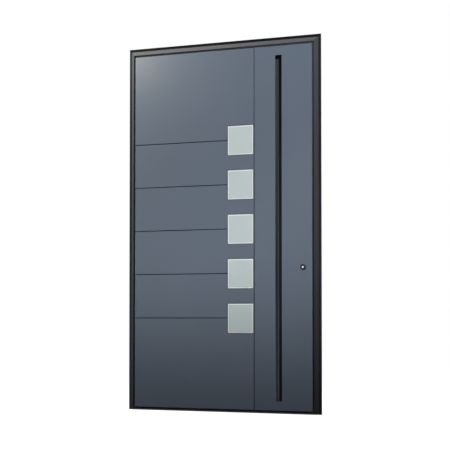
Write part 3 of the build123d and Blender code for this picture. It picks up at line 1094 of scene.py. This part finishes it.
    def _grip_shadow_plate(self, face: Face) -> None:
        """Paints the shadow in the grip's upper end with a thin black plate.

        The plate's outline is an L down the lit wall and along the lid, carried from above
        the floor to the face. A flat tab carries the painted shadow onto the floor between the wall and the
        liner.

        Args:
            face: The face of the leaf.
        """
        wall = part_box(f"{face.side}_grip_channel")[0].x + self.grip_wall
        floor = self._grip_floor(face)
        thick, wide, drop = self.shadow_plate_thick, self.grip_width - self.shadow_plate_thick, -self.shadow_plate_drop
        shadow_outline = np.array([(0.0, drop), (thick, drop), (thick, -thick), (wide, -thick), (wide, 0.0),
                           (0.0, 0.0)])
        front = face.surface(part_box(f"{face.side}_right_panel")) - face.value * thick
        shadow_span = (floor + face.value * self.shadow_plate_lift * self.shade_liner, front)
        aside, below = self.shade_liner_margin, -self.shadow_tab_drop
        shadow_tab = np.array([(0.0, below), (aside, below), (aside, 0.0), (0.0, 0.0)])
        shadow_tab_span = (floor, floor + face.value * thick)
        shadow_plates = [swept(outline, np.array([(wall, y, self.grip_end) for y in span]), ALONG_X, ALONG_Z)
                  for outline, span in ((shadow_outline, shadow_span), (shadow_tab, shadow_tab_span))]
        put(f"{face.side}_grip_shadow_plate", Shape.joined(shadow_plates), GRIP_COAT, Body.LEAF, self.shadow_plate_sharp_deg)


@dataclass
class LockSet:
    """Roses, cylinder, thumb turn, faceplate and bolts."""

    rose_round: float = 0.0030
    rose_round_steps: int = 9
    rose_bore: float = 0.45
    rose_bevel: float = 0.0006
    rose_groove: tuple[float, float, float, float] = (0.0040, 0.0043, 0.0049, 0.0052)
    rose_groove_depth: float = 0.0004
    rose_sharp_deg: float = 40.0
    shell_bevel: float = 0.0007
    bore_bevel: float = 0.0004
    plug: float = 0.0064
    plug_length: float = 0.012
    plug_gap: float = 0.0002
    plug_bevel: float = 0.0003
    plug_steps: int = 96
    keyway: Pair = (0.0008, 0.0030)
    keyway_power: float = 6.0
    keyway_floor: float = 0.5
    keyway_depth: float = 0.0040
    turn_steps: int = 64
    turn_sharp_deg: float = 60.0
    faceplate_screw: float = 0.0040
    screw_offsets: Pair = (-0.045, 0.045)
    bolt_heights: Triple = BOLT_HEIGHTS
    plate_margin: float = 0.024
    centre: Pair = field(init=False)
    # Place along the turn, half width and half height in millimetres, and power of each section
    turn_sections: ClassVar[tuple[tuple[float, float, float, float], ...]] = (
        (0.00, 6.0, 6.0, 2.0), (0.36, 6.0, 6.0, 2.0), (0.40, 6.0, 10.5, 2.2), (0.43, 5.6, 15.5, 2.6),
        (0.50, 4.9, 17.6, 3.0), (0.62, 4.3, 18.0, 3.2), (0.74, 4.2, 18.0, 3.2), (0.86, 4.4, 17.9, 3.2),
        (0.94, 4.4, 17.3, 3.2), (0.98, 3.8, 16.0, 3.0), (1.00, 2.4, 13.5, 2.8),
    )

    def __post_init__(self) -> None:
        """Takes the cylinder's axis from its solid."""
        low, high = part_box("lock_cylinder")
        self.centre = ((low.x + high.x) / 2.0, (low.z + high.z) / 2.0)

    def dress(self) -> None:
        """Gives the lock's solids their steel."""
        dress(LOCK_STEEL, "lock_faceplate", "lock_bolts")

    def build(self) -> None:
        """Makes the roses, the cylinder and its plug, the thumb turn and the faceplate's screws."""
        self._rose("outer_rose", "outer_lock_rose", Face.OUTER)
        self._rose("inner_rose", "inner_lock_rose", Face.INNER)
        self._cylinder()
        self._plug()
        self._thumb_turn()
        self._faceplate_screws()

    def _on_axis(self, level: float) -> Triple:
        """Point of the cylinder's axis at a level along y."""
        return (self.centre[0], level, self.centre[1])

    def _rose(self, name: str, node: str, face: Face) -> None:
        """Turns a closed section: a flat ring with a rounded edge and a fine groove near it.

        Args:
            name: The piece's name.
            node: The solid that it stands for.
            face: The face of the leaf that it lies on.
        """
        low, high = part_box(node)
        outer, tall = (high.x - low.x) / 2.0, high.y - low.y
        inner, bevel, cut = outer * self.rose_bore, self.rose_bevel, self.rose_groove_depth
        arc = np.radians(np.linspace(0.0, 90.0, self.rose_round_steps))
        edge_r = outer - self.rose_round + self.rose_round * np.cos(arc)
        edge_h = tall - self.rose_round + self.rose_round * np.sin(arc)
        groove_r = outer - np.array(self.rose_groove)
        flat_h = tall - np.array([0.0, cut, cut, 0.0, 0.0, bevel])
        radii = np.concatenate([[inner, outer], edge_r, groove_r, [inner + bevel, inner]])
        heights = np.concatenate([[0.0, 0.0], edge_h, flat_h])
        base = self._on_axis(low.y if face is Face.INNER else high.y)
        shape = turned(radii, heights, base, Y_AXIS, face.value, wrapped=True)
        piece = put(name, shape, ROSE_COAT, Body.LEAF, self.rose_sharp_deg)
        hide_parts(node)

    def _cylinder(self) -> None:
        """Turns the cylinder's black shell: a closed section with a chamfered edge and a bore."""
        low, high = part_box("lock_cylinder")
        outer, long = (high.x - low.x) / 2.0, high.y - low.y
        bore = self.plug + self.plug_gap
        radii = np.array([bore, outer, outer, outer - self.shell_bevel, bore + self.bore_bevel, bore])
        heights = np.array([-long, -long, -self.shell_bevel, 0.0, 0.0, -self.bore_bevel])
        shape = turned(radii, heights, self._on_axis(low.y), Y_AXIS, -1.0, wrapped=True)
        shell = put("cylinder_shell", shape, ROSE_COAT, Body.LEAF)
        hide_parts("lock_cylinder")

    def _plug(self) -> None:
        """Turns the key plug in the shell's bore.

        Rings go from the keyway's floor, a narrow rounded rectangle, over its rim to the
        plug's chamfered circle and back along the bore.
        """
        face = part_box("lock_cylinder")[0].y
        angle = angles(self.plug_steps)
        key = rounded_radius(angle, *self.keyway, self.keyway_power)
        bevel, circle = self.plug_bevel, np.ones_like(angle)
        radii = np.stack([key * self.keyway_floor, key, key, key + bevel, (self.plug - bevel) * circle,
                          self.plug * circle, self.plug * circle])
        floor = -self.keyway_depth
        heights = np.array([floor, floor, -bevel, 0.0, 0.0, -bevel, -self.plug_length])
        put("key_plug", turned(radii, heights, self._on_axis(face), Y_AXIS, -1.0), PLUG_STEEL, Body.LEAF)

    def _thumb_turn(self) -> None:
        """Lofts the turn from a round shaft to a flat paddle with a slight waist.

        Each section is a rounded rectangle whose half sizes and power follow its place
        along the turn. The half sizes are scaled to fit the solid.
        """
        low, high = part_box("thumb_turn")
        place, wide, tall, power = np.array(self.turn_sections).T[..., None]
        wide = wide / wide.max() * (high.x - low.x) / 2.0
        tall = tall / tall.max() * (high.z - low.z) / 2.0
        radii = rounded_radius(angles(self.turn_steps), wide, tall, power)
        shape = turned(radii, place[:, 0] * (high.y - low.y), self._on_axis(low.y), Y_AXIS)
        piece = put("thumb_paddle", shape, LOCK_STEEL, Body.LEAF, self.turn_sharp_deg)
        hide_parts("thumb_turn")

    def _faceplate_screws(self) -> None:
        """Screws the faceplate at its ends and beside each bolt."""
        low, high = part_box("lock_faceplate")
        across = (low.y + high.y) / 2.0
        beside = [z + offset for z in self.bolt_heights for offset in self.screw_offsets]
        heights = [low.z + self.plate_margin, *beside, high.z - self.plate_margin]
        places = np.array([(high.x, across, z) for z in heights])
        heads = Screw(radius=self.faceplate_screw).shape(X_AXIS, 1.0).repeated(places)
        put("faceplate_screws", heads, LOCK_STEEL, Body.LEAF)


@dataclass
class PivotSet:
    """Floor and head pivots, with the screws of their plates and blocks."""

    plate_reach: Pair = (0.056, 0.010)
    block_reach: Pair = (0.046, 0.012)
    axis: Pair = field(init=False)

    def __post_init__(self) -> None:
        """Takes the pivot's axis from the spindle."""
        low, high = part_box("floor_spindle")
        self.axis = ((low.x + high.x) / 2.0, (low.y + high.y) / 2.0)

    def dress(self) -> None:
        """Gives the pivots' solids their ground steel."""
        dress(PIVOT_STEEL, "floor_pivot_plate", "floor_spindle", "head_pivot_plate", "head_pivot_pin",
              "bottom_pivot_block", "top_pivot_block")

    def build(self) -> None:
        """Puts four screws in each plate and block."""
        plate, block = self.plate_reach, self.block_reach
        self._four("floor_plate_screws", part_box("floor_pivot_plate")[1].z, 1.0, plate, Body.FRAME)
        self._four("head_plate_screws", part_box("head_pivot_plate")[0].z, -1.0, plate, Body.FRAME)
        self._four("bottom_block_screws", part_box("bottom_pivot_block")[0].z, -1.0, block, Body.LEAF)
        self._four("top_block_screws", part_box("top_pivot_block")[1].z, 1.0, block, Body.LEAF)

    def _four(self, name: str, height: float, way: float, reach: Pair, body: Body) -> None:
        """Sets screws at the corners of a rectangle around the pivot's axis.

        Args:
            name: The piece's name.
            height: Level of the plate's face.
            way: Sign of z that the heads look along.
            reach: Half sizes of the rectangle along x and y.
            body: The body that they move with.
        """
        places = np.array([(self.axis[0] + i * reach[0], self.axis[1] + j * reach[1], height)
                           for i in (-1.0, 1.0) for j in (-1.0, 1.0)])
        put(name, Screw().shape(Z_AXIS, way).repeated(places), PIVOT_STEEL, body)


@dataclass
class Studio:
    """Floor, white surroundings, lamps and the camera at the photograph's angle."""

    floor_reach: float = 40.0
    floor_drop: float = 0.0005
    floor_pale: float = 0.30
    floor_dull: float = 0.08
    glow: Pair = (0.94, 0.06)
    glow_range: Pair = (0.9, 2.2)
    ambient: float = 0.04
    ambient_tint: Triple = (0.84, 0.94, 1.20)
    eye: Triple = (6.2342, -10.6588, 0.6419)
    pitch_deg: float = 2.857
    yaw_deg: float = 30.295
    lens_mm: float = 146.255
    sensor_mm: float = 36.0
    sight: float = 200.0
    shown: ClassVar[tuple[str, ...]] = ("Is Camera Ray", "Is Glossy Ray", "Is Transmission Ray")
    lamps: ClassVar[tuple[Lamp, ...]] = (
        Lamp("key", (-1.52, -1.0, 2.77), (-0.5, 0.0, 2.2), 0.6, 0.6, 22.0, colour=(1.0, 0.88, 0.70)),
        Lamp("upper_wash", (0.8, -1.45, 1.65), (0.8, 0.0, 1.65), 2.2, 0.5, 1.62, 91.3),
        Lamp("lower_wash", (-0.1, -3.15, 0.955), (-0.1, 0.0, 0.955), 3.4, 0.5, 4.6, 35.0, (1.0, 0.96, 0.91)),
        Lamp("fill", (2.0, -1.5, 2.52), (0.3, 0.0, 2.52), 1.0, 1.0, 13.5, 128.5),
        Lamp("top", (-1.4, -0.9, 4.5), (-0.5, -0.1, 2.4), 1.6, 0.8, 92.0),
        Lamp("back", (0.9, 3.4, 3.0), (0.0, 0.0, 1.4), 2.4, 1.6, 90.0),
        Lamp("left_side", (-2.8, 1.9, 1.6), (-0.75, 0.0, 1.3), 1.2, 2.0, 30.0),
        Lamp("right_side", (2.8, 1.9, 1.6), (0.75, 0.0, 1.3), 1.2, 2.0, 30.0),
    )

    def build(self) -> None:
        """Makes the floor, the world, the lamps and the camera."""
        bpy.context.scene.view_settings.view_transform = "Standard"
        self._floor()
        self._world()
        for lamp in self.lamps:
            self._lamp(lamp)
        self._camera()

    def _seen(self, kit: Tree) -> Socket:
        """Tells the rays that show the surroundings from those that only light.

        Args:
            kit: The tree that asks.

        Returns:
            1 for rays that show them, 0 for the others.
        """
        path = kit.add("ShaderNodeLightPath")
        first, second, third = [path.outputs[name] for name in self.shown]
        return kit.math("MAXIMUM", kit.math("MAXIMUM", first, second), third)

    def _floor(self) -> None:
        """Lays a wide plane just under the door."""
        reach, level = self.floor_reach, -self.floor_drop
        square = ((-reach, -reach), (reach, -reach), (reach, reach), (-reach, reach))
        mesh = bpy.data.meshes.new("studio_floor")
        mesh.from_pydata([(x, y, level) for x, y in square], [], [(0, 1, 2, 3)])
        mesh.materials.append(self._floor_material())
        floor = bpy.data.objects.new("studio_floor", mesh)
        bpy.context.scene.collection.objects.link(floor)

    def _floor_material(self) -> bpy.types.Material:
        """Builds a dull floor that glows white where it is seen, a little less near the door.

        Returns:
            The material.
        """
        made = bpy.data.materials.new("studio_floor")
        made.use_nodes = True
        kit = Tree(made.node_tree)
        place = kit.add("ShaderNodeTexCoord").outputs["Object"]
        apart = kit.add("ShaderNodeVectorMath", {0: place}, operation="LENGTH").outputs["Value"]
        near, rise = self.glow
        strength = kit.math("ADD", kit.math("MULTIPLY", kit.step(apart, *self.glow_range), rise), near)
        glow = kit.add("ShaderNodeEmission", {"Strength": strength}).outputs[0]
        white = kit.add("ShaderNodeAddShader", {0: kit.matt(self.floor_pale), 1: glow}).outputs[0]
        inputs = {0: self._seen(kit), 1: kit.matt(self.floor_dull), 2: white}
        both = kit.add("ShaderNodeMixShader", inputs).outputs[0]
        kit.add("ShaderNodeOutputMaterial", {"Surface": both})
        return made

    def _world(self) -> None:
        """Makes the surroundings white where they are seen, and a plain even light elsewhere."""
        world = bpy.data.worlds.new("studio_world")
        bpy.context.scene.world = world
        world.use_nodes = True
        kit = Tree(world.node_tree)
        seen = self._seen(kit)
        inputs = {"Value": seen, "To Min": self.ambient, "To Max": 1.0}
        strength = kit.add("ShaderNodeMapRange", inputs).outputs["Result"]
        inputs = {"Color": kit.mixed(seen, self.ambient_tint, WHITE), "Strength": strength}
        back = kit.add("ShaderNodeBackground", inputs).outputs[0]
        kit.add("ShaderNodeOutputWorld", {"Surface": back})

    def _lamp(self, lamp: Lamp) -> None:
        """Hangs one soft lamp and turns it to its aim.

        Args:
            lamp: The lamp.
        """
        light = bpy.data.lights.new(f"lamp_{lamp.name}", "AREA")
        light.shape = "RECTANGLE"
        light.size, light.size_y, light.energy = lamp.width, lamp.height, lamp.watts
        light.spread, light.color = math.radians(lamp.spread_deg), lamp.colour
        holder = bpy.data.objects.new(light.name, light)
        holder.location = lamp.place
        way = np.array(lamp.aim) - np.array(lamp.place)
        flat = math.hypot(way[0], way[1])
        holder.rotation_euler = (math.atan2(flat, -way[2]), 0.0, math.atan2(-way[0], way[1]))
        bpy.context.scene.collection.objects.link(holder)

    def _camera(self) -> None:
        """Stands the camera low and to the right, tilted up a little, with a long lens."""
        data = bpy.data.cameras.new("camera")
        data.sensor_width, data.lens = self.sensor_mm, self.lens_mm
        data.clip_end = self.sight
        camera = bpy.data.objects.new("camera", data)
        camera.location = self.eye
        camera.rotation_euler = (math.radians(90.0 + self.pitch_deg), 0.0, math.radians(self.yaw_deg))
        bpy.context.scene.collection.objects.link(camera)
        bpy.context.scene.camera = camera


def main() -> None:
    """Builds the studio and the door's sub-assemblies in order."""
    logging.basicConfig(level=logging.INFO, format="%(message)s")
    Studio().build()
    for part in (FrameSet(), LeafSet(), SealSet(), LockSet(), PivotSet()):
        part.dress()
        part.build()


if __name__ == "__main__":
    main()
